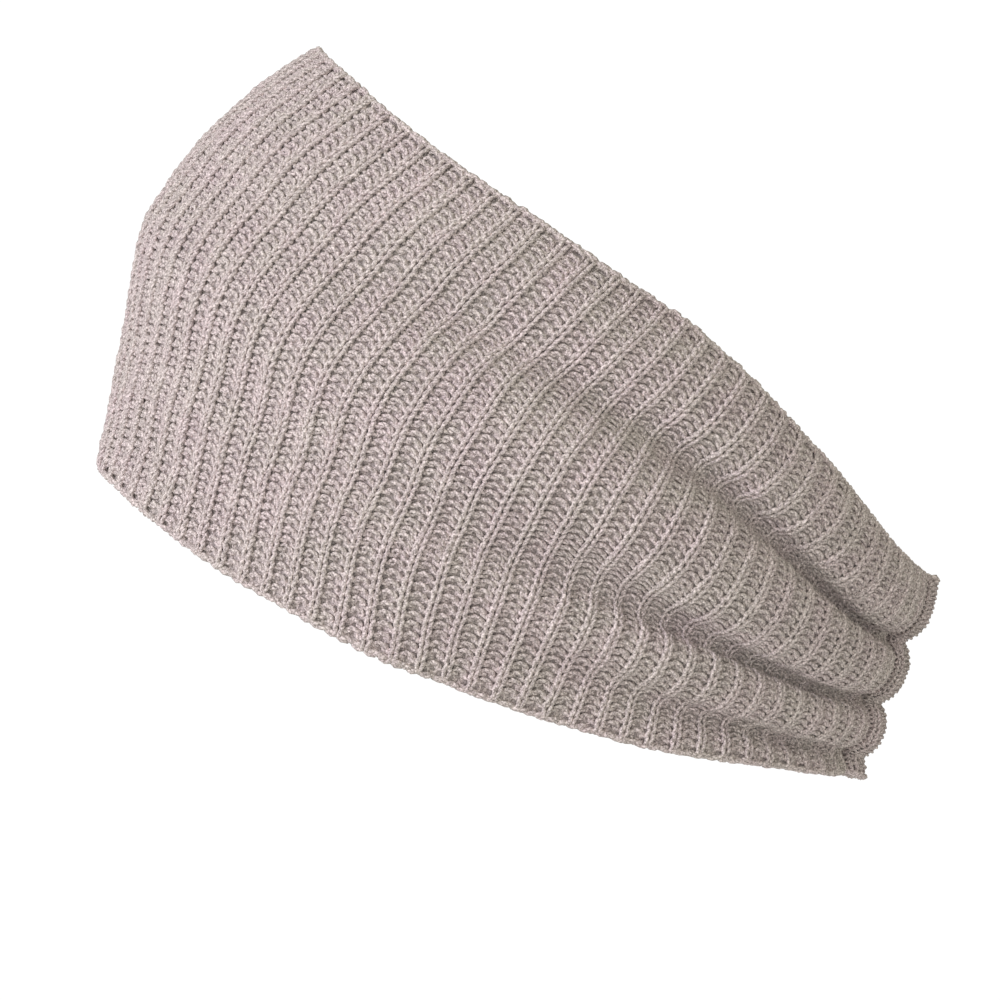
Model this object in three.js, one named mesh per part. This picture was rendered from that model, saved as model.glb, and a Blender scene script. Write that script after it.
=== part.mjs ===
import * as THREE from 'three';

// A wide knit headband in 1x1 rib, in the form it has when worn: deep over the forehead,
// and drawn together into four pleats at a seam at the back of the head.
// Millimetres, +Z up on an upright head, front towards -X, the wearer's left towards -Y.
// The origin is the middle of the hollow that the head fills.

// The band is worked out in the frame of its own ring: x from front to back, z up the ring's axis.
// The ring is then tilted, so that it sits high over the forehead and low on the nape.
const RING_TILT = THREE.MathUtils.degToRad(32);

// The ring seen along its axis: a full curve in front and a more pointed one behind.
const RING_FRONT = -103.3;
const RING_BACK = 88.8;
const RING_WIDEST_AT = -12;
const RING_HALF_WIDTH = 69;
const FRONT_FULLNESS = 2.15;
const BACK_FULLNESS = 1.75;
const RING_STEPS = 720;

// The cloth: ribs run across the band, and every rib is a raised column with a low one beside it.
// The ribs crowd together next to the seam.
const RIBS = 81;
const WALL = 2.4;
const RIB_RELIEF = 0.5;
const RIB_CROWDING = 0.03;
const CROWDING_POWER = 8;
const YARN_COLOUR = 0xab9e9a;

// The crease where the cloth bends in over the head, as a share of the way up it.
const CREASE = 0.5;
const CREASE_BEND_WIDTH = 0.18;
const CREASE_SLANT_WIDTH = 0.3;

// The seam sits a little to the wearer's left of the middle of the back, in a shallow groove.
const SEAM_OFFSET = 6;
const SEAM_GROOVE_DEPTH = 2;
const SEAM_GROOVE_WIDTH = 5;

// Sections round the ring. place is the share of the way from the middle of the front to the back,
// low and high are the heights of the two edges, and cloth is the width of knit between them.
// lean is the slope of the wall outwards, in degrees: below the crease, just above it and at the top.
// slant is the slope of the ribs towards the back, in degrees: below the crease and above it.
const SECTIONS = [
  { place: 0.00, low: -50.3, high: 51.8, cloth: 108, lean: [22, 0, -27], slant: [0, 0] },
  { place: 0.15, low: -52.2, high: 48.9, cloth: 106, lean: [18, -2, -24], slant: [-3, 6] },
  { place: 0.30, low: -54.6, high: 44.0, cloth: 103, lean: [14, -4, -20], slant: [-9, 14] },
  { place: 0.45, low: -53.6, high: 41.9, cloth: 101, lean: [10, -6, -18], slant: [-12, 18] },
  { place: 0.60, low: -48.0, high: 39.8, cloth: 100, lean: [6, -8, -18], slant: [-12, 18] },
  { place: 0.75, low: -38.9, high: 32.2, cloth: 95, lean: [-2, -8, -12], slant: [-9, 14] },
  { place: 0.88, low: -28.2, high: 24.3, cloth: 80, lean: [-10, -8, -8], slant: [-5, 9] },
  { place: 1.00, low: -21.6, high: 23.2, cloth: 50, lean: [-14, -12, -12], slant: [0, 0] },
];
const SLANT_LEFT_AT_TOP = 0.25;

// Folds across the cloth, from the bottom edge up: ridges and valleys by turns.
// front, middle and seam are shares of the cloth's width, start and full say where on the way
// from the front to the seam the fold begins and is whole, and swing is its share of the gather.
const FOLDS = [
  { name: 'bottom lip', front: -0.02, middle: -0.02, seam: -0.03, start: 0.59, full: 0.96, swing: 0.3 },
  { name: 'low valley', front: 0.1, middle: 0.11, seam: 0.085, start: 0.54, full: 0.92, swing: 0.85 },
  { name: 'low ridge', front: 0.2, middle: 0.23, seam: 0.23, start: 0.44, full: 0.83, swing: 1.08 },
  { name: 'middle valley', front: 0.25, middle: 0.305, seam: 0.365, start: 0.44, full: 0.83, swing: 1 },
  { name: 'middle ridge', front: 0.49, middle: 0.57, seam: 0.535, start: 0.28, full: 0.88, swing: 0.85 },
  { name: 'top valley', front: 0.54, middle: 0.755, seam: 0.675, start: 0.28, full: 0.88, swing: 1 },
  { name: 'top ridge', front: 0.7, middle: 0.87, seam: 0.845, start: 0.33, full: 0.88, swing: 1 },
  { name: 'above the top edge', front: 1.06, middle: 1.1, seam: 1.2, start: 0.44, full: 0.96, swing: 0.3 },
];
const FOLD_MIDDLE = 0.64;
const FOLD_TRACE = 0.06;
const VALLEY_TIGHTNESS = 0.7;
const FIRST_FOLD_PHASE = -Math.PI;

// The ring's curve runs through the crease in front. From this part of the way on it runs
// through the middle of the pleats, taken over this share of the cloth either side of the crease.
const PLEATED_FROM = 0.64;
const PLEAT_SPREAD = 0.22;

// The share of its outer thickness that the knit loses where it is squeezed in a valley.
const VALLEY_SQUEEZE = 0.75;

const LINE_STEPS = 240;
const GATHER_TRIES = 26;
const LARGEST_SWING = 2.4;
const TANGENT_STEP = 0.5;
const NORMAL_STEP = 0.004;

// Rows of the surface between one fold line and the next, as shares of the way from the valley
// to the ridge. They crowd towards the valleys, where the cloth turns most.
const OUTER_ROWS = { bottom: [0.06, 0.35], between: [0.05, 0.18, 0.42, 0.68], top: [0.35, 0.8] };
const INNER_ROWS = { bottom: [0.2, 0.6], between: [0.07, 0.3, 0.7], top: [0.3, 0.7, 1] };

const clamp01 = (value) => Math.min(1, Math.max(0, value));

function smooth(value) {
  const t = clamp01(value);
  return t * t * (3 - 2 * t);
}

// A smooth value through the sections at a place round the ring, flat at both ends.
function fromSections(value, place) {
  const rows = SECTIONS;
  const slope = (i) => {
    if (i === 0 || i === rows.length - 1) return 0;
    return (value(rows[i + 1]) - value(rows[i - 1])) / (rows[i + 1].place - rows[i - 1].place);
  };
  let i = 0;
  while (i < rows.length - 2 && place >= rows[i + 1].place) i += 1;
  const step = rows[i + 1].place - rows[i].place;
  const t = clamp01((place - rows[i].place) / step);
  const rest = 1 - t;
  return value(rows[i]) * (1 + 2 * t) * rest * rest
    + slope(i) * step * t * rest * rest
    + value(rows[i + 1]) * t * t * (3 - 2 * t)
    - slope(i + 1) * step * t * t * rest;
}

// Straight lines through a list of [x, y] pairs.
function along(pairs, x) {
  if (x <= pairs[0][0]) return pairs[0][1];
  let i = 0;
  while (i < pairs.length - 2 && x > pairs[i + 1][0]) i += 1;
  const [x0, y0] = pairs[i];
  const [x1, y1] = pairs[i + 1];
  return y0 + (y1 - y0) * Math.min(1, (x - x0) / (x1 - x0));
}

// Half of the ring seen along its axis, from the middle of the front to the middle of the back
// by the wearer's left, as points with the length walked so far.
function halfRing() {
  const points = [];
  let walked = 0;
  for (let i = 0; i <= RING_STEPS; i += 1) {
    const angle = Math.PI * i / RING_STEPS;
    const inFront = angle <= Math.PI / 2;
    const power = 2 / (inFront ? FRONT_FULLNESS : BACK_FULLNESS);
    const reach = inFront ? RING_FRONT - RING_WIDEST_AT : RING_BACK - RING_WIDEST_AT;
    const x = RING_WIDEST_AT + reach * Math.abs(Math.cos(angle)) ** power;
    const y = -RING_HALF_WIDTH * Math.sin(angle) ** power;
    if (i > 0) walked += Math.hypot(x - points[i - 1].x, y - points[i - 1].y);
    points.push({ x, y, walked });
  }
  return points;
}

const HALF_RING = halfRing();
const HALF_LENGTH = HALF_RING[RING_STEPS].walked;

// The point of the ring at a signed length from the middle of the front,
// positive by the wearer's left and past the middle of the back where it is longer than half.
function ringPoint(length) {
  const folded = Math.abs(length) > HALF_LENGTH ? 2 * HALF_LENGTH - Math.abs(length) : Math.abs(length);
  const otherSide = (length < 0) !== (Math.abs(length) > HALF_LENGTH);
  let low = 0;
  let high = RING_STEPS;
  while (high - low > 1) {
    const middle = Math.floor((low + high) / 2);
    if (HALF_RING[middle].walked > folded) high = middle;
    else low = middle;
  }
  const from = HALF_RING[low];
  const to = HALF_RING[high];
  const t = (folded - from.walked) / (to.walked - from.walked);
  const y = from.y + (to.y - from.y) * t;
  return { x: from.x + (to.x - from.x) * t, y: otherSide ? -y : y };
}

// How much of the way from the middle of the front to the seam lies before a rib,
// from the part of that side's ribs that lies before it.
function wayToRib(part) {
  return part * (1 + RIB_CROWDING) - RIB_CROWDING * part ** CROWDING_POWER;
}

// Where a fold lies across the cloth: a parabola through its three shares.
function foldAcross(fold, way) {
  const m = FOLD_MIDDLE;
  return fold.front * (way - m) * (way - 1) / m
    + fold.middle * way * (way - 1) / (m * (m - 1))
    + fold.seam * way * (way - m) / (1 - m);
}

function foldStrength(fold, way) {
  const grown = smooth((way - fold.start) / (fold.full - fold.start));
  return fold.swing * (FOLD_TRACE + (1 - FOLD_TRACE) * grown);
}

// The across shares of the rows of one side of the wall, so that the rows follow the folds.
// Every second fold line, from the second on, is a valley.
function rowShares(way, rows) {
  const lines = FOLDS.map((fold) => clamp01(foldAcross(fold, way)));
  const shares = [0];
  for (let i = 0; i < lines.length - 1; i += 1) {
    const isBottom = i === 0;
    const isTop = i === lines.length - 2;
    const fromValley = (isBottom && rows.bottom) || (isTop && rows.top) || rows.between;
    const isValley = i % 2 === 1;
    const chosen = isValley ? fromValley : fromValley.map((share) => 1 - share).reverse();
    chosen.forEach((share) => shares.push(lines[i] + (lines[i + 1] - lines[i]) * share));
  }
  shares.push(1);
  return shares;
}

// One line of cloth from the bottom edge to the top edge, at a signed part of the ribs from the
// middle of the front to the seam, positive by the wearer's left. The gather swings the cloth in
// and out just enough for its whole width to fit between the heights of the two edges.
function clothLine(signedPart) {
  const way = wayToRib(Math.abs(signedPart));
  const side = signedPart < 0 ? -1 : 1;
  const reach = HALF_LENGTH - side * SEAM_OFFSET;
  const length = reach * way;
  const at = ringPoint(side * length);
  const ahead = ringPoint(side * (length + TANGENT_STEP));
  const behind = ringPoint(side * (length - TANGENT_STEP));
  const alongRing = new THREE.Vector2(ahead.x - behind.x, ahead.y - behind.y).normalize();
  const outwards = new THREE.Vector2(-alongRing.y, alongRing.x).multiplyScalar(-side);

  const share = length / HALF_LENGTH;
  const place = share > 1 ? 2 - share : share;
  const size = (key) => fromSections((row) => row[key], place);
  const angles = (key) => SECTIONS[0][key].map((_, i) => (
    THREE.MathUtils.degToRad(fromSections((row) => row[key][i], place))
  ));
  const low = size('low');
  const height = size('high') - low;
  const stepLength = size('cloth') / LINE_STEPS;
  const [leanBelow, leanMiddle, leanTop] = angles('lean');
  const [slantBelow, slantAbove] = angles('slant');
  const phases = FOLDS.map((fold, i) => [foldAcross(fold, way), FIRST_FOLD_PHASE + Math.PI * i]);
  const strengths = FOLDS.map((fold) => [foldAcross(fold, way), foldStrength(fold, way)]);

  const steps = [];
  for (let i = 0; i < LINE_STEPS; i += 1) {
    const across = (i + 0.5) / LINE_STEPS;
    const bent = smooth((across - CREASE) / CREASE_BEND_WIDTH + 0.5);
    const slanted = smooth((across - CREASE) / CREASE_SLANT_WIDTH + 0.5);
    const upperPart = clamp01((across - CREASE) / (1 - CREASE));
    const leanUpper = leanMiddle + (leanTop - leanMiddle) * upperPart;
    const slantUpper = slantAbove * (1 - (1 - SLANT_LEFT_AT_TOP) * upperPart);
    const phase = along(phases, across);
    const turned = phase + VALLEY_TIGHTNESS * Math.sin(phase);
    const strength = along(strengths, across);
    steps.push({
      lean: leanBelow * (1 - bent) + leanUpper * bent,
      slant: slantBelow * (1 - slanted) + slantUpper * slanted,
      fold: strength * Math.sin(turned),
      squeeze: VALLEY_SQUEEZE * Math.min(1, strength) * (1 + Math.cos(turned)) / 2,
    });
  }

  let least = 0;
  let most = LARGEST_SWING;
  for (let i = 0; i < GATHER_TRIES; i += 1) {
    const swing = (least + most) / 2;
    let reached = 0;
    for (const step of steps) {
      reached += stepLength * Math.cos(step.slant) * Math.cos(step.lean + swing * step.fold);
    }
    if (reached > height) least = swing;
    else most = swing;
  }

  const line = [{ out: 0, up: 0, back: 0 }];
  for (const step of steps) {
    const angle = step.lean + most * step.fold;
    const last = line[line.length - 1];
    line.push({
      out: last.out + stepLength * Math.cos(step.slant) * Math.sin(angle),
      up: last.up + stepLength * Math.cos(step.slant) * Math.cos(angle),
      back: last.back + stepLength * Math.sin(step.slant),
    });
  }

  const crease = line[Math.round(CREASE * LINE_STEPS)];
  let weights = 0;
  let pleatMiddle = 0;
  line.forEach((point, i) => {
    const weight = Math.exp(-(((i / LINE_STEPS - CREASE) / PLEAT_SPREAD) ** 2));
    weights += weight;
    pleatMiddle += weight * point.out;
  });
  const pleated = smooth(way / PLEATED_FROM);
  const outMiddle = crease.out * (1 - pleated) + pleatMiddle / weights * pleated;
  const groove = SEAM_GROOVE_DEPTH * Math.exp(-(((reach - length) / SEAM_GROOVE_WIDTH) ** 2));

  const stepAt = (across) => Math.min(LINE_STEPS - 1, Math.floor(clamp01(across) * LINE_STEPS));
  const pointAt = (across) => {
    const i = stepAt(across);
    const t = clamp01(across) * LINE_STEPS - i;
    const mix = (key) => line[i][key] + (line[i + 1][key] - line[i][key]) * t;
    const out = mix('out') - outMiddle - groove;
    const back = mix('back') - crease.back;
    return new THREE.Vector3(
      at.x + outwards.x * out + alongRing.x * back,
      at.y + outwards.y * out + alongRing.y * back,
      low + mix('up'),
    );
  };
  return { pointAt, squeezeAt: (across) => steps[stepAt(across)].squeeze };
}

// One side of the wall as a closed grid of points: columns round the ring from the seam back to
// the seam, two for each rib, and rows from the bottom edge to the top edge. The points stand off
// the middle of the cloth by the distance that offset gives for a column and a squeeze.
function wallSide(lines, rows, offset) {
  const grid = lines.map((line, j) => {
    const way = wayToRib(Math.abs(2 * j / lines.length - 1));
    return rowShares(way, rows).map((share) => ({
      point: line.pointAt(share),
      upwards: line.pointAt(share + NORMAL_STEP).sub(line.pointAt(share - NORMAL_STEP)),
      squeeze: line.squeezeAt(share),
    }));
  });
  return grid.map((column, j) => column.map((cell, k) => {
    const next = grid[(j + 1) % grid.length][k].point;
    const last = grid[(j + grid.length - 1) % grid.length][k].point;
    const normal = next.clone().sub(last).cross(cell.upwards).normalize();
    return cell.point.clone().addScaledVector(normal, offset(j, cell.squeeze));
  }));
}

// The band: its outside has the ribs, its inside has one plain column to a rib, and the two
// are closed along both edges.
function bandGeometry() {
  const columns = 2 * RIBS;
  const lines = Array.from({ length: columns }, (_, j) => clothLine(2 * j / columns - 1));
  const isRib = (j) => j % 2 === 1;
  const outside = wallSide(lines, OUTER_ROWS, (j, squeeze) => (
    (WALL / 2 + (isRib(j) ? RIB_RELIEF : -RIB_RELIEF)) * (1 - squeeze)
  ));
  const inside = wallSide(lines, INNER_ROWS, () => -WALL / 2).filter((_, j) => isRib(j));

  const positions = [];
  const put = (point) => {
    positions.push(point.x, point.y, point.z);
    return positions.length / 3 - 1;
  };
  const outer = outside.map((column) => column.map(put));
  const inner = inside.map((column) => column.map(put));

  const faces = [];
  const quad = (a, b, c, d) => faces.push(a, b, c, a, c, d);
  outer.forEach((column, j) => {
    const next = outer[(j + 1) % columns];
    for (let k = 0; k < column.length - 1; k += 1) {
      quad(column[k], next[k], next[k + 1], column[k + 1]);
    }
  });
  inner.forEach((column, m) => {
    const next = inner[(m + 1) % RIBS];
    for (let k = 0; k < column.length - 1; k += 1) {
      quad(column[k], column[k + 1], next[k + 1], next[k]);
    }
    const here = outer[2 * m + 1];
    const between = outer[(2 * m + 2) % columns];
    const there = outer[(2 * m + 3) % columns];
    const top = here.length - 1;
    const innerTop = column.length - 1;
    faces.push(here[top], between[top], column[innerTop]);
    faces.push(between[top], next[innerTop], column[innerTop]);
    faces.push(between[top], there[top], next[innerTop]);
    faces.push(between[0], here[0], column[0]);
    faces.push(next[0], between[0], column[0]);
    faces.push(there[0], between[0], next[0]);
  });

  const geometry = new THREE.BufferGeometry();
  geometry.setAttribute('position', new THREE.Float32BufferAttribute(positions, 3));
  geometry.setIndex(faces);
  geometry.computeVertexNormals();
  return geometry;
}

const yarn = new THREE.MeshStandardMaterial({ color: YARN_COLOUR, roughness: 0.95, metalness: 0 });
yarn.name = 'taupe yarn';

const knitBand = new THREE.Mesh(bandGeometry(), yarn);
knitBand.name = 'knit_band';

const headband = new THREE.Group();
headband.rotation.y = RING_TILT;
headband.add(knitBand);

export default headband;
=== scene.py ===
import math

import bpy
import numpy as np
from mathutils import Matrix, Vector


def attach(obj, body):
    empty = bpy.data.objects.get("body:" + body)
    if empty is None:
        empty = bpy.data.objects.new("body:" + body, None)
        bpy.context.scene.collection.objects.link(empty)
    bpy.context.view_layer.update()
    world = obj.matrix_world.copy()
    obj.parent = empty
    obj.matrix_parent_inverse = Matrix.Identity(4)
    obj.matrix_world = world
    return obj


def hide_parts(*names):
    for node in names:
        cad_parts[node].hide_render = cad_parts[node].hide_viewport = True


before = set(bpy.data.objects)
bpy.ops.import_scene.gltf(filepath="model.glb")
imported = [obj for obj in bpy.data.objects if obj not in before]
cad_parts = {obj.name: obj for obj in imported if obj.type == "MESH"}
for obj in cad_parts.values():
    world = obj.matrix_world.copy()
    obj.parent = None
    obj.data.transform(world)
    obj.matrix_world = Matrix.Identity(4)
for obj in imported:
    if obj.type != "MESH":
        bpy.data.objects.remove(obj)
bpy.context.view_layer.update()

# The form of the band: the same numbers as the solid's, in millimetres, in the frame of its own
# ring, which is then tilted.
RING_TILT = math.radians(32)
RING_FRONT, RING_BACK, RING_WIDEST_AT, RING_HALF_WIDTH = -103.3, 88.8, -12.0, 69.0
FRONT_FULLNESS, BACK_FULLNESS = 2.15, 1.75
RIBS = 81
RIB_CROWDING, CROWDING_POWER = 0.03, 8
CREASE, CREASE_BEND_WIDTH, CREASE_SLANT_WIDTH = 0.5, 0.18, 0.3
SEAM_OFFSET, SEAM_GROOVE_DEPTH, SEAM_GROOVE_WIDTH = 6.0, 2.0, 5.0
SECTION_COLUMNS = (
    "place", "low", "high", "cloth", "lean_low", "lean_mid", "lean_top", "slant_low", "slant_high",
)
SECTIONS = np.array([
    (0.00, -50.3, 51.8, 108, 22, 0, -27, 0, 0),
    (0.15, -52.2, 48.9, 106, 18, -2, -24, -3, 6),
    (0.30, -54.6, 44.0, 103, 14, -4, -20, -9, 14),
    (0.45, -53.6, 41.9, 101, 10, -6, -18, -12, 18),
    (0.60, -48.0, 39.8, 100, 6, -8, -18, -12, 18),
    (0.75, -38.9, 32.2, 95, -2, -8, -12, -9, 14),
    (0.88, -28.2, 24.3, 80, -10, -8, -8, -5, 9),
    (1.00, -21.6, 23.2, 50, -14, -12, -12, 0, 0),
])
SLANT_LEFT_AT_TOP = 0.25
# name, its share across the cloth in front, in the middle and at the seam, where on the way from
# the front to the seam it starts and is full, and its share of the gather
FOLDS = [
    ("bottom lip", -0.02, -0.02, -0.03, 0.59, 0.96, 0.3),
    ("low valley", 0.10, 0.11, 0.085, 0.54, 0.92, 0.85),
    ("low ridge", 0.20, 0.23, 0.23, 0.44, 0.83, 1.08),
    ("middle valley", 0.25, 0.305, 0.365, 0.44, 0.83, 1.0),
    ("middle ridge", 0.49, 0.57, 0.535, 0.28, 0.88, 0.85),
    ("top valley", 0.54, 0.755, 0.675, 0.28, 0.88, 1.0),
    ("top ridge", 0.70, 0.87, 0.845, 0.33, 0.88, 1.0),
    ("above the top edge", 1.06, 1.10, 1.20, 0.44, 0.96, 0.3),
]
FOLD_MIDDLE, FOLD_TRACE = 0.64, 0.06
VALLEY_TIGHTNESS, VALLEY_SQUEEZE = 0.7, 0.75
PLEATED_FROM, PLEAT_SPREAD = 0.64, 0.22

# The grid that the cloth is worked out on: columns to a rib round the ring, rows across.
HALF_RING_STEPS = 1440
COLUMNS_PER_RIB = 8
LINE_STEPS = 600
ROWS = 300
GATHER_TRIES = 26
LARGEST_SWING = 2.4

# The knit, in millimetres or in shares of a rib's pitch or of a course. GATHERED_YARN says how much
# thinner and flatter the yarn gets as the cloth is drawn together.
COURSES = 50
COURSES_PER_PIECE = 10
KNIT_SHARE = 0.37
LOOP_HALF_HEIGHT = 0.84
KNIT_WAIST, PURL_WAIST = 0.080, 0.165
KNIT_LEG_OUT, KNIT_HEAD_OUT = 0.80, 0.00
PURL_LEG_IN, PURL_HEAD_IN = 0.85, -0.45
YARN_RADIUS = 0.56
GATHERED_YARN = 0.6
STEPS_PER_LOOP = 11
YARN_SIDES = 5
SEED = 7

# How uneven the loops are: each wander is a slow shift, smoothed in that many passes, and the rest
# differs from loop to loop.
RIB_WANDER, RIB_WANDER_PASSES, RIB_SCATTER = 0.045, 12, 0.012
COURSE_WANDER, COURSE_WANDER_PASSES, COURSE_SCATTER = 0.13, 8, 0.06
RELIEF_SCATTER, OUT_SCATTER = 0.12, 0.09
YARN_WANDER, YARN_WANDER_PASSES, YARN_SCATTER = 0.06, 1, 0.05

# The painted-shade backing and the two bound edges, in millimetres or in shares of the cloth's width.
BACKING_IN, BACKING_ROWS = 0.3, 60
EDGE_AT, EDGE_REACH = 0.002, 0.004
EDGE_STEPS_PER_RIB = 10
EDGE_STRAND_OUT, EDGE_STRAND_UP = 0.5, 0.25
EDGE_UNEVEN_TURN, EDGE_UNEVEN_HEIGHT, EDGE_UNEVEN_YARN = 0.7, 0.15, 0.12

# The seam, in millimetres or in ribs: how far it draws the knit in, how far the knit beside it on
# the wearer's right stands out, and the strand that closes it.
SEAM_SINK, SEAM_SINK_WIDTH = 1.9, 0.28
SEAM_LIP, SEAM_LIP_AT, SEAM_LIP_WIDTH = 1.8, 0.95, 0.5
SEAM_STITCHES, SEAM_STITCH_STEPS, SEAM_STITCH_REACH = 15, 10, 0.20
SEAM_STRAND_OUT, SEAM_STRAND_SHARE = 0.9, 0.75
SEAM_STRAND_END, SEAM_STRAND_TURN = 0.03, 8

# How far the ribs run towards the seam from the columns of the cloth's grid, fitted to the lines of
# the ribs in the photograph: the half waves from the bottom edge to the top edge, and their size in
# ribs at three parts of the way from the front to the seam.
RIB_WAVE_PARTS = (0.2, 0.45, 0.7)
RIB_WAVES = (
    (1, 0.44, 0.10, 0.25),
    (2, -0.01, -0.06, -0.01),
    (3, -0.05, 0.02, -0.17),
    (4, 0.05, 0.16, 0.07),
    (5, -0.01, 0.04, -0.05),
)
RIB_WAVES_START, RIB_WAVES_END = 0.1, 0.2

# The yarn: colours of its dark and light fibres and where they start in the noise, tints of the
# slower shifts, sizes of both in 1/metres, and its plies with their twist in millimetres.
DARK_FIBRE, DARK_FIBRE_AT = (0.27, 0.228, 0.226), 0.34
LIGHT_FIBRE, LIGHT_FIBRE_AT = (1.0, 0.885, 0.88), 0.66
GREEN_TINT, GREEN_TINT_AT = (0.98, 1.0, 0.96), 0.35
PINK_TINT, PINK_TINT_AT = (1.0, 0.975, 0.98), 0.65
HEATHER_SCALE, DRIFT_SCALE = 2600, 120
HEATHER_DETAIL, DRIFT_DETAIL, NOISE_ROUGHNESS = 3, 2, 0.6
PLIES, PLY_TWIST = 2, 1.6
PLY_SHADOW, PLY_SHADOW_END = (0.72, 0.70, 0.69), 0.55
FIBRE_STRETCH, FIBRE_SLANT = (1.6, 7, 1), 0.35
PLY_RELIEF, FIBRE_RELIEF = 0.7, 0.6
RELIEF_STRENGTH, RELIEF_DEPTH = 0.8, 0.0003
# How bright the backing is against the yarn: below 1, it is painted shade in the gaps between the loops.
PAINTED_GAP_SHADE = 0.65
STRAND_START = 3.7


def smooth(value):
    t = np.clip(value, 0, 1)
    return t * t * (3 - 2 * t)


def section_values(places):
    """Each column of the table of sections at some places round the ring, as smooth curves."""
    xs = SECTIONS[:, 0]
    i = np.clip(np.searchsorted(xs, places, "right") - 1, 0, len(xs) - 2)
    step = xs[i + 1] - xs[i]
    t = np.clip((places - xs[i]) / step, 0, 1)
    r = 1 - t
    values = {}
    for k, name in enumerate(SECTION_COLUMNS[1:], 1):
        ys = SECTIONS[:, k]
        slopes = np.zeros(len(xs))
        slopes[1:-1] = (ys[2:] - ys[:-2]) / (xs[2:] - xs[:-2])
        values[name] = (
            ys[i] * (1 + 2 * t) * r * r + slopes[i] * step * t * r * r
            + ys[i + 1] * t * t * (3 - 2 * t) - slopes[i + 1] * step * t * t * r
        )
    return values


def half_ring():
    angle = np.pi * np.arange(HALF_RING_STEPS + 1) / HALF_RING_STEPS
    in_front = angle <= np.pi / 2
    power = 2 / np.where(in_front, FRONT_FULLNESS, BACK_FULLNESS)
    reach = np.where(in_front, RING_FRONT, RING_BACK) - RING_WIDEST_AT
    x = RING_WIDEST_AT + reach * np.abs(np.cos(angle)) ** power
    y = -RING_HALF_WIDTH * np.abs(np.sin(angle)) ** power
    walked = np.concatenate([[0], np.cumsum(np.hypot(np.diff(x), np.diff(y)))])
    return x, y, walked


HALF_X, HALF_Y, HALF_WALKED = half_ring()
HALF_LENGTH = HALF_WALKED[-1]


def ring_points(length):
    past = np.abs(length) > HALF_LENGTH
    folded = np.where(past, 2 * HALF_LENGTH - np.abs(length), np.abs(length))
    x = np.interp(folded, HALF_WALKED, HALF_X)
    y = np.interp(folded, HALF_WALKED, HALF_Y)
    return np.stack([x, np.where((length < 0) != past, -y, y)], axis=-1)


def fold_across(fold, way):
    m = FOLD_MIDDLE
    return (
        fold[1] * (way - m) * (way - 1) / m
        + fold[2] * way * (way - 1) / (m * (m - 1))
        + fold[3] * way * (way - m) / (1 - m)
    )


def rows_interp(x, knots, values):
    """Straight lines through a row of knots for each line of the cloth."""
    return np.stack([np.interp(x, k, v) for k, v in zip(knots, values)])


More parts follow.
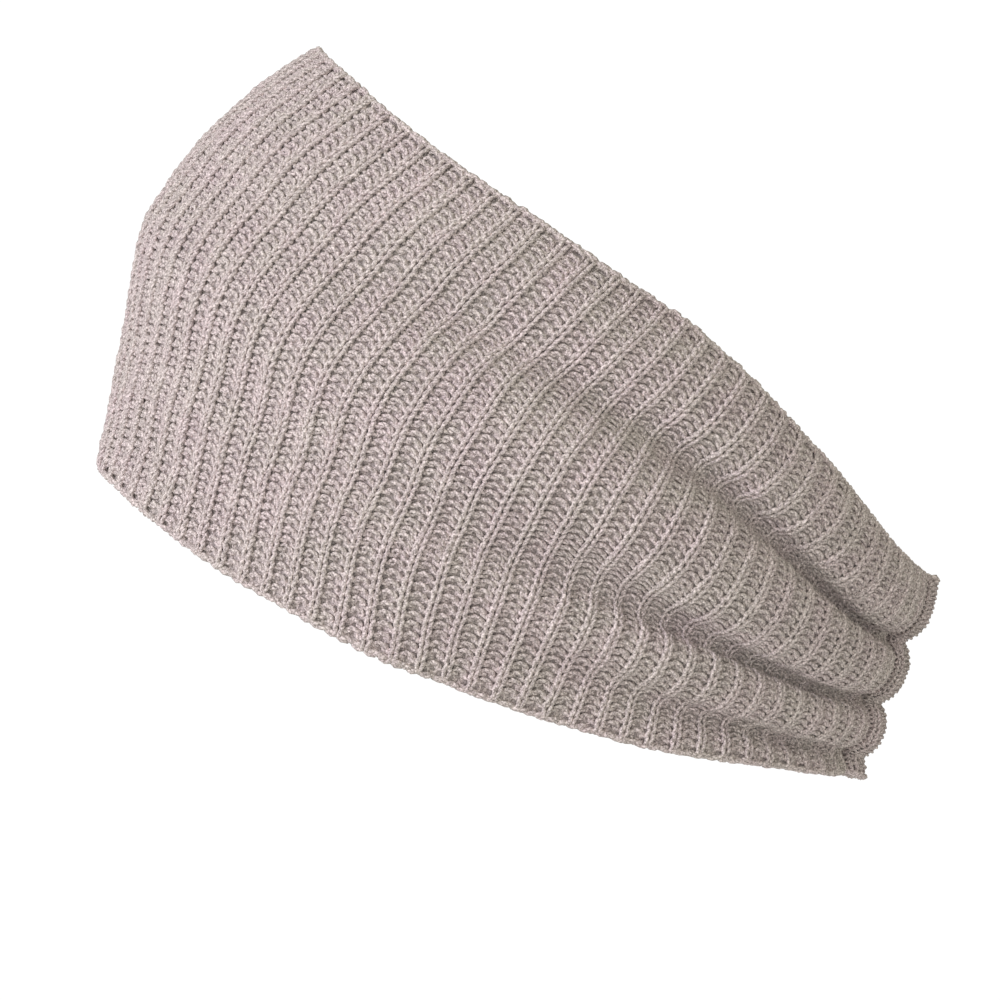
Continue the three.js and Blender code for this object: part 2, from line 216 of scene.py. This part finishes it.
def cloth_lines(signed):
    """Lines of cloth from the bottom edge to the top edge, one for each signed part of the ribs
    from the middle of the front to the seam, and how much the outer half of the knit is squeezed
    at each step. A line swings in and out just enough for its whole width to fit between the
    heights of the two edges."""
    part = np.abs(signed)
    side = np.where(signed < 0, -1.0, 1.0)
    reach = HALF_LENGTH - side * SEAM_OFFSET
    way = part * (1 + RIB_CROWDING) - RIB_CROWDING * part**CROWDING_POWER
    length = reach * way
    at = ring_points(side * length)
    along = ring_points(side * (length + 0.5)) - ring_points(side * (length - 0.5))
    along /= np.linalg.norm(along, axis=1, keepdims=True)
    outwards = np.stack([-along[:, 1], along[:, 0]], axis=-1) * -side[:, None]

    share = length / HALF_LENGTH
    v = section_values(np.where(share > 1, 2 - share, share))
    lean_low, lean_mid, lean_top, slant_low, slant_high = (
        np.radians(v[k])[:, None] for k in SECTION_COLUMNS[4:]
    )
    across = (np.arange(LINE_STEPS) + 0.5) / LINE_STEPS
    bent = smooth((across - CREASE) / CREASE_BEND_WIDTH + 0.5)
    slanted = smooth((across - CREASE) / CREASE_SLANT_WIDTH + 0.5)
    upper = np.clip((across - CREASE) / (1 - CREASE), 0, 1)
    lean = lean_low * (1 - bent) + (lean_mid + (lean_top - lean_mid) * upper) * bent
    slant = slant_low * (1 - slanted) + slant_high * (1 - (1 - SLANT_LEFT_AT_TOP) * upper) * slanted

    knots = np.stack([fold_across(f, way) for f in FOLDS], axis=1)
    grown = np.stack([smooth((way - f[4]) / (f[5] - f[4])) for f in FOLDS], axis=1)
    strengths = np.array([f[6] for f in FOLDS]) * (FOLD_TRACE + (1 - FOLD_TRACE) * grown)
    phases = np.broadcast_to(np.pi * (np.arange(len(FOLDS)) - 1), knots.shape)
    phase = rows_interp(across, knots, phases)
    turned = phase + VALLEY_TIGHTNESS * np.sin(phase)
    strength = rows_interp(across, knots, strengths)
    fold = strength * np.sin(turned)
    squeeze = VALLEY_SQUEEZE * np.minimum(strength, 1) * (1 + np.cos(turned)) / 2

    step = (v["cloth"] / LINE_STEPS)[:, None]
    height = v["high"] - v["low"]
    least = np.zeros(len(part))
    most = np.full(len(part), LARGEST_SWING)
    for _ in range(GATHER_TRIES):
        swing = (least + most) / 2
        reached = (step * np.cos(slant) * np.cos(lean + swing[:, None] * fold)).sum(axis=1)
        least = np.where(reached > height, swing, least)
        most = np.where(reached > height, most, swing)
    angle = lean + most[:, None] * fold

    def walk(steps):
        return np.concatenate([np.zeros((len(part), 1)), np.cumsum(steps, axis=1)], axis=1)

    out = walk(step * np.cos(slant) * np.sin(angle))
    up = walk(step * np.cos(slant) * np.cos(angle))
    back = walk(step * np.sin(slant))
    shares = np.arange(LINE_STEPS + 1) / LINE_STEPS
    crease = int(round(CREASE * LINE_STEPS))
    weight = np.exp(-(((shares - CREASE) / PLEAT_SPREAD) ** 2))
    pleated = smooth(way / PLEATED_FROM)
    middle = out[:, crease] * (1 - pleated) + out @ weight / weight.sum() * pleated
    groove = SEAM_GROOVE_DEPTH * np.exp(-(((reach - length) / SEAM_GROOVE_WIDTH) ** 2))
    out = out - (middle + groove)[:, None]
    back = back - back[:, crease : crease + 1]
    flat = at[:, None] + outwards[:, None] * out[..., None] + along[:, None] * back[..., None]
    lines = np.concatenate([flat, (v["low"][:, None] + up)[..., None]], axis=-1)
    return lines, np.concatenate([squeeze, squeeze[:, -1:]], axis=1)


def cloth_grid():
    """The middle of the cloth, the way out of it and its squeeze, columns by rows, in metres."""
    columns = RIBS * COLUMNS_PER_RIB
    lines, squeeze = cloth_lines(-1 + 2 * np.arange(columns) / columns)
    wanted = np.arange(ROWS + 1) / ROWS * LINE_STEPS
    low = np.minimum(wanted.astype(int), LINE_STEPS - 1)
    t = (wanted - low)[None, :, None]
    grid = lines[:, low] * (1 - t) + lines[:, low + 1] * t
    c, s = math.cos(RING_TILT), math.sin(RING_TILT)
    x, z = grid[..., 0].copy(), grid[..., 2].copy()
    grid[..., 0] = x * c + z * s
    grid[..., 2] = z * c - x * s
    round_ring = np.roll(grid, -1, axis=0) - np.roll(grid, 1, axis=0)
    across = np.gradient(grid, axis=1)
    normal = np.cross(round_ring, across)
    normal /= np.linalg.norm(normal, axis=-1, keepdims=True)
    return grid / 1000, normal, squeeze[:, low]


GRID, NORMAL, SQUEEZE = cloth_grid()
CLOTH_WIDTH = np.linalg.norm(np.diff(GRID, axis=1), axis=-1).sum(axis=1)


def on_cloth(rib, across):
    """The cloth's middle, its outward normal and its squeeze at a place counted in ribs round the
    ring from the seam, and as a share of the width across. Past an edge it goes straight on."""
    x = np.mod(rib, RIBS) * COLUMNS_PER_RIB
    i = np.floor(x).astype(int)
    s = x - i
    i %= len(GRID)
    n = (i + 1) % len(GRID)
    y = across * ROWS
    j = np.clip(np.floor(y).astype(int), 0, ROWS - 1)
    t = y - j

    def between(values, s, t):
        here = values[i, j] * (1 - s) + values[n, j] * s
        above = values[i, j + 1] * (1 - s) + values[n, j + 1] * s
        return here * (1 - t) + above * t

    point = between(GRID, s[..., None], t[..., None])
    t = np.clip(t, 0, 1)
    normal = between(NORMAL, s[..., None], t[..., None])
    normal /= np.linalg.norm(normal, axis=-1, keepdims=True)
    return point, normal, between(SQUEEZE, s, t)


def make_mesh(name, points, quads, material, uvs=None):
    mesh = bpy.data.meshes.new(name)
    mesh.vertices.add(len(points))
    mesh.vertices.foreach_set("co", np.ascontiguousarray(points, dtype=np.float32).ravel())
    mesh.loops.add(quads.size)
    mesh.loops.foreach_set("vertex_index", quads.astype(np.int32).ravel())
    mesh.polygons.add(len(quads))
    mesh.polygons.foreach_set("loop_start", np.arange(0, quads.size, 4, dtype=np.int32))
    mesh.polygons.foreach_set("use_smooth", np.ones(len(quads), dtype=bool))
    if uvs is not None:
        layer = mesh.uv_layers.new(name="yarn")
        layer.uv.foreach_set("vector", np.ascontiguousarray(uvs, dtype=np.float32).ravel())
    mesh.update(calc_edges=True)
    mesh.validate()
    piece = bpy.data.objects.new(name, mesh)
    bpy.context.collection.objects.link(piece)
    piece.data.materials.append(material)
    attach(piece, "root")
    return piece


def yarn_rings(name, points, normals, radius, material, sides=YARN_SIDES):
    """Closed rings of yarn as one mesh: points and normals are rings by steps by 3, in metres."""
    rings, steps = points.shape[:2]
    ahead = np.roll(points, -1, axis=1) - np.roll(points, 1, axis=1)
    ahead /= np.linalg.norm(ahead, axis=-1, keepdims=True)
    sideways = np.cross(ahead, normals)
    sideways /= np.linalg.norm(sideways, axis=-1, keepdims=True)
    upwards = np.cross(sideways, ahead)
    turn = 2 * np.pi * np.arange(sides) / sides
    radius = np.broadcast_to(radius, points.shape[:2])[..., None, None]
    shell = points[:, :, None] + radius * (
        sideways[:, :, None] * np.cos(turn)[:, None] + upwards[:, :, None] * np.sin(turn)[:, None]
    )
    r, s, k = np.meshgrid(np.arange(rings), np.arange(steps), np.arange(sides), indexing="ij")

    def index(ring, step, side):
        return (ring * steps + step % steps) * sides + side % sides

    corners = ((0, 0), (1, 0), (1, 1), (0, 1))
    quads = np.stack([index(r, s + a, k + b) for a, b in corners], axis=-1)
    lengths = np.linalg.norm(np.roll(points, -1, axis=1) - points, axis=-1)
    walked = np.concatenate([np.zeros((rings, 1)), np.cumsum(lengths, axis=1)], axis=1) * 1000
    start, end = walked[:, :-1, None], walked[:, 1:, None]
    shift = (np.arange(rings) * STRAND_START)[:, None, None]
    across = np.broadcast_to(k, r.shape)
    start, end = np.broadcast_to(start + shift, r.shape), np.broadcast_to(end + shift, r.shape)
    uvs = np.stack([
        np.stack([start, across / sides], -1), np.stack([end, across / sides], -1),
        np.stack([end, (across + 1) / sides], -1), np.stack([start, (across + 1) / sides], -1),
    ], axis=3)
    return make_mesh(name, shell.reshape(-1, 3), quads.reshape(-1, 4), material, uvs.reshape(-1, 2))


def seam_sink(rib):
    """How far the seam draws the knit inwards at a place, in millimetres."""
    from_seam = np.mod(rib + RIBS / 2, RIBS) - RIBS / 2
    sunk = SEAM_SINK * np.exp(-((from_seam / SEAM_SINK_WIDTH) ** 2))
    return sunk - SEAM_LIP * np.exp(-(((from_seam - SEAM_LIP_AT) / SEAM_LIP_WIDTH) ** 2))


def rib_shift(rib, across):
    """How far a rib has run towards the seam at a place on the cloth, in ribs."""
    from_front = rib - RIBS / 2
    part = np.abs(from_front) / (RIBS / 2)
    present = smooth(part / RIB_WAVES_START) * smooth((1 - part) / RIB_WAVES_END)
    waves = sum(
        np.interp(part, RIB_WAVE_PARTS, sizes) * np.cos(half_waves * np.pi * across)
        for half_waves, *sizes in RIB_WAVES
    )
    return np.sign(from_front) * present * waves


def slow_noise(rng, passes):
    """Noise that shifts slowly from course to course and from loop to loop, about 1 in size."""
    field = rng.normal(size=(COURSES, 2 * RIBS))
    for _ in range(passes):
        for axis in (0, 1):
            field = (np.roll(field, 1, axis) + 2 * field + np.roll(field, -1, axis)) / 4
    return field / field.std()


def along_loops(field, t):
    """A value for each loop as a smooth line along the yarn, from the middle of one to the next."""
    s = t / (2 * np.pi) - 0.5
    here = field[..., None]
    before = np.roll(field, 1, 1)[..., None]
    after = np.roll(field, -1, 1)[..., None]
    return np.where(s < 0, here * (1 + s) - before * s, here * (1 - s) + after * s)


def loop_rings(rng):
    """The paths of the courses of 1x1 rib, each one closed ring of knit and purl loops by turns."""
    t = 2 * np.pi * np.arange(STEPS_PER_LOOP) / STEPS_PER_LOOP
    loop = np.arange(2 * RIBS)
    is_knit = (loop % 2 == 1)[:, None]
    width = np.where(is_knit, KNIT_SHARE, 1 - KNIT_SHARE)
    waist = np.where(is_knit, KNIT_WAIST, PURL_WAIST)
    leg = np.where(is_knit, KNIT_LEG_OUT, -PURL_LEG_IN)
    head = np.where(is_knit, KNIT_HEAD_OUT, -PURL_HEAD_IN)
    rib = loop[:, None] / 2 + width * (t / (2 * np.pi) - 0.5) + waist * np.sin(2 * t)
    out = leg * np.sin(t) ** 2 + head * (1 - np.cos(t)) / 2
    up = -LOOP_HALF_HEIGHT * np.cos(t)

    shape = (COURSES, 2 * RIBS, 1)
    swing = np.sin(t / 2) ** 2
    rib = rib[None] + rng.normal(0, RIB_SCATTER, shape) * swing
    rib = rib + RIB_WANDER * along_loops(slow_noise(rng, RIB_WANDER_PASSES), t)
    out = out[None] * (1 + rng.normal(0, RELIEF_SCATTER, shape)) + rng.normal(0, OUT_SCATTER, shape) * swing
    up = up[None] + rng.normal(0, COURSE_SCATTER, shape) * swing
    up = up + COURSE_WANDER * along_loops(slow_noise(rng, COURSE_WANDER_PASSES), t)
    uneven = 1 + YARN_SCATTER * rng.normal(size=out.shape)
    radius = YARN_RADIUS * (uneven + YARN_WANDER * along_loops(slow_noise(rng, YARN_WANDER_PASSES), t))
    course = np.arange(COURSES)[:, None, None]
    across = (course + LOOP_HALF_HEIGHT + up) / (COURSES - 1 + 2 * LOOP_HALF_HEIGHT)
    rib = rib + rib_shift(rib, across)

    flat = (COURSES, -1)
    point, normal, squeeze = on_cloth(rib.reshape(flat), across.reshape(flat))
    out = out.reshape(flat)
    columns = np.mod(rib.reshape(flat), RIBS) * COLUMNS_PER_RIB
    width = np.interp(columns, np.arange(len(GRID) + 1), np.append(CLOTH_WIDTH, CLOTH_WIDTH[0]))
    drawn_in = 1 - GATHERED_YARN * (1 - width / CLOTH_WIDTH.max())
    out = np.where(out > 0, out * (1 - squeeze), out) * drawn_in - seam_sink(rib.reshape(flat))
    point = point + normal * (out / 1000)[..., None]
    return point, normal, radius.reshape(flat) * drawn_in * (1 - squeeze / 3) / 1000


def yarn_material(name, light, plies):
    """Heathered fibres, darker as painted shade where light is below 1, with twisted plies on the yarn
    itself.
    """
    material = bpy.data.materials.new(name)
    material.use_nodes = True
    nodes, links = material.node_tree.nodes, material.node_tree.links
    shader = nodes["Principled BSDF"]
    shader.inputs["Roughness"].default_value = 0.9
    shader.inputs["Specular IOR Level"].default_value = 0.2
    shader.inputs["Sheen Weight"].default_value = 0.3
    shader.inputs["Sheen Roughness"].default_value = 0.5
    shader.inputs["Sheen Tint"].default_value = (0.95, 0.9, 0.87, 1)
    place = nodes.new("ShaderNodeTexCoord")

    def noise(scale, detail, vector=None):
        node = nodes.new("ShaderNodeTexNoise")
        node.inputs["Scale"].default_value = scale
        node.inputs["Detail"].default_value = detail
        node.inputs["Roughness"].default_value = NOISE_ROUGHNESS
        links.new(vector or place.outputs["Object"], node.inputs["Vector"])
        return node.outputs["Fac"]

    def ramp(factor, *stops):
        node = nodes.new("ShaderNodeValToRGB")
        for element, (position, colour) in zip(node.color_ramp.elements, stops):
            element.position = position
            element.color = tuple(colour) + (1,)
        links.new(factor, node.inputs["Fac"])
        return node.outputs["Color"]

    def math_node(operation, a, b=None):
        node = nodes.new("ShaderNodeMath")
        node.operation = operation
        for socket, value in zip(node.inputs, (a, b)):
            if isinstance(value, bpy.types.NodeSocket):
                links.new(value, socket)
            elif value is not None:
                socket.default_value = value
        return node.outputs["Value"]

    def multiplied(a, b):
        node = nodes.new("ShaderNodeMix")
        node.data_type = "RGBA"
        node.blend_type = "MULTIPLY"
        node.inputs["Factor"].default_value = 1
        links.new(a, node.inputs["A"])
        links.new(b, node.inputs["B"])
        return node.outputs["Result"]

    # heathered colour: light and dark fibres, and slow shifts between a pink and a green grey
    heather = ramp(
        noise(HEATHER_SCALE, HEATHER_DETAIL),
        (DARK_FIBRE_AT, [light * c for c in DARK_FIBRE]),
        (LIGHT_FIBRE_AT, [light * c for c in LIGHT_FIBRE]),
    )
    drift = ramp(noise(DRIFT_SCALE, DRIFT_DETAIL), (GREEN_TINT_AT, GREEN_TINT), (PINK_TINT_AT, PINK_TINT))
    colour = multiplied(heather, drift)
    if plies:
        uv = nodes.new("ShaderNodeUVMap")
        uv.uv_map = "yarn"
        parts = nodes.new("ShaderNodeSeparateXYZ")
        links.new(uv.outputs["UV"], parts.inputs["Vector"])
        turned = math_node("ADD", math_node("MULTIPLY", parts.outputs["X"], 1 / PLY_TWIST),
                           math_node("MULTIPLY", parts.outputs["Y"], PLIES))
        ply = math_node("ABSOLUTE", math_node("SINE", math_node("MULTIPLY", turned, math.pi)))
        colour = multiplied(colour, ramp(ply, (0, PLY_SHADOW), (PLY_SHADOW_END, (1, 1, 1))))
        stretch = nodes.new("ShaderNodeMapping")
        stretch.inputs["Scale"].default_value = FIBRE_STRETCH
        stretch.inputs["Rotation"].default_value = (0, 0, FIBRE_SLANT)
        links.new(uv.outputs["UV"], stretch.inputs["Vector"])
        fibres = noise(1, HEATHER_DETAIL, stretch.outputs["Vector"])
        height = math_node("ADD", math_node("MULTIPLY", ply, PLY_RELIEF),
                           math_node("MULTIPLY", fibres, FIBRE_RELIEF))
    else:
        height = noise(HEATHER_SCALE, HEATHER_DETAIL)
    links.new(colour, shader.inputs["Base Color"])
    bump = nodes.new("ShaderNodeBump")
    bump.inputs["Strength"].default_value = RELIEF_STRENGTH
    bump.inputs["Distance"].default_value = RELIEF_DEPTH
    links.new(height, bump.inputs["Height"])
    links.new(bump.outputs["Normal"], shader.inputs["Normal"])
    return material


def backing(material):
    """A darker sheet just inside the knit, which paints the shade seen in the gaps between the loops. It is
    a stand-in: the band has no layer of its own there."""
    columns, rows = 2 * RIBS, BACKING_ROWS
    rib = np.repeat(np.arange(columns)[:, None] / 2, rows + 1, axis=1)
    across = np.repeat(np.linspace(EDGE_AT, 1 - EDGE_AT, rows + 1)[None], columns, axis=0)
    point, normal, _ = on_cloth(rib, across)
    point = point - normal * ((BACKING_IN + seam_sink(rib)) / 1000)[..., None]
    i, j = np.meshgrid(np.arange(columns), np.arange(rows), indexing="ij")

    def index(a, b):
        return (a % columns) * (rows + 1) + b

    corners = ((0, 0), (1, 0), (1, 1), (0, 1))
    quads = np.stack([index(i + a, j + b) for a, b in corners], axis=-1)
    return make_mesh("knit_backing", point.reshape(-1, 3), quads.reshape(-1, 4), material)


def seam_strand(material):
    """The strand that closes the seam: in slanted stitches up the outside and back down the inside."""
    steps = 2 * SEAM_STITCHES * SEAM_STITCH_STEPS
    u = np.arange(steps) / steps
    across = SEAM_STRAND_END + (1 - 2 * SEAM_STRAND_END) * (1 - np.abs(1 - 2 * u))
    side = np.clip(SEAM_STRAND_TURN * np.sin(2 * np.pi * u), -1, 1)
    rib = SEAM_STITCH_REACH * np.sin(4 * np.pi * SEAM_STITCHES * u)
    point, normal, _ = on_cloth(rib, across)
    out = SEAM_STRAND_OUT * side - SEAM_SINK
    point = point + normal * (out / 1000)[:, None]
    radius = SEAM_STRAND_SHARE * YARN_RADIUS / 1000
    return yarn_rings("seam_strand", point[None], normal[None], radius, material)


def edge_chain(name, across, material, rng):
    """The bound edge: two strands laid loosely and unevenly round each other, two turns to a rib."""
    steps = RIBS * EDGE_STEPS_PER_RIB
    rib = np.arange(steps) / EDGE_STEPS_PER_RIB

    def uneven():
        """A new random value for each half rib, in straight lines from one to the next."""
        bumps = rng.normal(size=2 * RIBS)
        return np.interp(2 * rib, np.arange(2 * RIBS + 1), np.append(bumps, bumps[0]))

    strands, swell = [], []
    for phase in (0, np.pi):
        point, normal, _ = on_cloth(rib, np.full(steps, across))
        upper = on_cloth(rib, np.full(steps, across + EDGE_REACH))[0]
        lower = on_cloth(rib, np.full(steps, across - EDGE_REACH))[0]
        up = upper - lower
        up /= np.linalg.norm(up, axis=-1, keepdims=True)
        wave = 4 * np.pi * rib + phase + EDGE_UNEVEN_TURN * uneven()
        out = EDGE_STRAND_OUT * np.cos(wave) - seam_sink(rib)
        above = EDGE_STRAND_UP * np.sin(wave) + EDGE_UNEVEN_HEIGHT * uneven()
        point = point + normal * (out / 1000)[:, None] + up * (above / 1000)[:, None]
        strands.append((point, normal))
        swell.append(YARN_RADIUS * (1 + EDGE_UNEVEN_YARN * uneven()))
    points = np.stack([s[0] for s in strands])
    normals = np.stack([s[1] for s in strands])
    return yarn_rings(name, points, normals, np.stack(swell) / 1000, material)


rng = np.random.default_rng(SEED)
yarn = yarn_material("taupe_yarn", 1.0, True)
# The backing's material: the yarn's colours darkened as painted shade for the gaps between the loops.
gap_shade = yarn_material("painted_gap_shade", PAINTED_GAP_SHADE, False)

ground = backing(gap_shade)
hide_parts("knit_band")
yarn_pieces = []
points, normals, radius = loop_rings(rng)
for start in range(0, COURSES, COURSES_PER_PIECE):
    end = min(start + COURSES_PER_PIECE, COURSES)
    yarn_pieces.append(yarn_rings(
        f"knit_courses_{start + 1}_to_{end}", points[start:end], normals[start:end], radius[start:end], yarn
    ))
for name, across in (("bottom_edge", EDGE_AT), ("top_edge", 1 - EDGE_AT)):
    yarn_pieces.append(edge_chain(name, across, yarn, rng))
yarn_pieces.append(seam_strand(yarn))
for piece in yarn_pieces:
    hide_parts("knit_band")


# The camera stands at the wearer's left and a little in front of the photograph's side view.
CAMERA_TURN = math.radians(6)
CAMERA_DISTANCE = 1.2
FRAME_WIDTH = 0.22
ORIGIN_PIXEL = (548, 468)
PIXELS = 1000
SENSOR_WIDTH = 36
NEAREST, FURTHEST = 0.05, 50

# The studio: a warm sky, a cool key light in front and above, and a fill light from the side.
SKY, SKY_COLOUR = 0.50, (1, 0.987, 0.84, 1)
KEY, KEY_PLACE, KEY_SIZE, KEY_COLOUR = 13.5, (-1.2, -1.0, 0.6), 0.7, (1, 0.974, 1.1)
FILL, FILL_PLACE, FILL_SIZE, FILL_COLOUR = 6.3, (-0.1, -1.6, 0.0), 1.0, (1, 1, 1)
SEEN_WHITE = 1.05
FLOOR_HALF_WIDTH, FLOOR_HEIGHT, FLOOR_GREY = 8, -0.35, 0.85


def make_camera():
    to_front = Vector((math.cos(RING_TILT), 0, -math.sin(RING_TILT)))
    towards = Vector((0, -math.cos(CAMERA_TURN), 0)) + to_front * math.sin(CAMERA_TURN)
    towards.normalize()
    right = Vector((0, 0, 1)).cross(towards).normalized()
    up = towards.cross(right)
    x = (ORIGIN_PIXEL[0] / PIXELS - 0.5) * FRAME_WIDTH
    y = -(ORIGIN_PIXEL[1] / PIXELS - 0.5) * FRAME_WIDTH
    data = bpy.data.cameras.new("camera")
    data.sensor_width = SENSOR_WIDTH
    data.lens = SENSOR_WIDTH * CAMERA_DISTANCE / FRAME_WIDTH
    data.clip_start, data.clip_end = NEAREST, FURTHEST
    camera = bpy.data.objects.new("camera", data)
    bpy.context.collection.objects.link(camera)
    place = towards * CAMERA_DISTANCE - right * x - up * y
    turn = Matrix((right, up, towards)).transposed().to_4x4()
    camera.matrix_world = Matrix.Translation(place) @ turn
    bpy.context.scene.camera = camera


def area_light(name, place, size, power, colour):
    """A round light that points at the middle of the band."""
    data = bpy.data.lights.new(name, "AREA")
    data.shape = "DISK"
    data.size = size
    data.energy = power
    data.color = colour
    lamp = bpy.data.objects.new(name, data)
    bpy.context.collection.objects.link(lamp)
    lamp.location = place
    lamp.rotation_mode = "QUATERNION"
    lamp.rotation_quaternion = Vector(place).to_track_quat("Z", "Y")


def seen_white(tree, shader_output, white_type):
    """Pure white where the camera sees it directly, and the given shader for all other light."""
    path = tree.nodes.new("ShaderNodeLightPath")
    white = tree.nodes.new(white_type)
    white.inputs["Color"].default_value = (1, 1, 1, 1)
    white.inputs["Strength"].default_value = SEEN_WHITE
    mix = tree.nodes.new("ShaderNodeMixShader")
    tree.links.new(path.outputs["Is Camera Ray"], mix.inputs["Fac"])
    tree.links.new(shader_output, mix.inputs[1])
    tree.links.new(white.outputs[0], mix.inputs[2])
    return mix.outputs[0]


def make_stage():
    mesh = bpy.data.meshes.new("floor")
    sides = ((-1, -1), (1, -1), (1, 1), (-1, 1))
    corners = [(x * FLOOR_HALF_WIDTH, y * FLOOR_HALF_WIDTH, 0) for x, y in sides]
    mesh.from_pydata(corners, [], [(0, 1, 2, 3)])
    floor = bpy.data.objects.new("floor", mesh)
    floor.location = (0, 0, FLOOR_HEIGHT)
    bpy.context.collection.objects.link(floor)
    material = bpy.data.materials.new("pale_floor")
    material.use_nodes = True
    tree = material.node_tree
    shader = tree.nodes["Principled BSDF"]
    shader.inputs["Base Color"].default_value = (FLOOR_GREY, FLOOR_GREY, FLOOR_GREY, 1)
    shader.inputs["Roughness"].default_value = 0.9
    surface = seen_white(tree, shader.outputs["BSDF"], "ShaderNodeEmission")
    tree.links.new(surface, tree.nodes["Material Output"].inputs["Surface"])
    floor.data.materials.append(material)
    world = bpy.data.worlds.new("studio")
    bpy.context.scene.world = world
    world.use_nodes = True
    sky = world.node_tree.nodes["Background"]
    sky.inputs["Color"].default_value = SKY_COLOUR
    sky.inputs["Strength"].default_value = SKY
    surface = seen_white(world.node_tree, sky.outputs["Background"], "ShaderNodeBackground")
    world.node_tree.links.new(surface, world.node_tree.nodes["World Output"].inputs["Surface"])
    area_light("key", KEY_PLACE, KEY_SIZE, KEY, KEY_COLOUR)
    area_light("fill", FILL_PLACE, FILL_SIZE, FILL, FILL_COLOUR)


make_camera()
make_stage()
bpy.context.scene.view_settings.view_transform = "Standard"
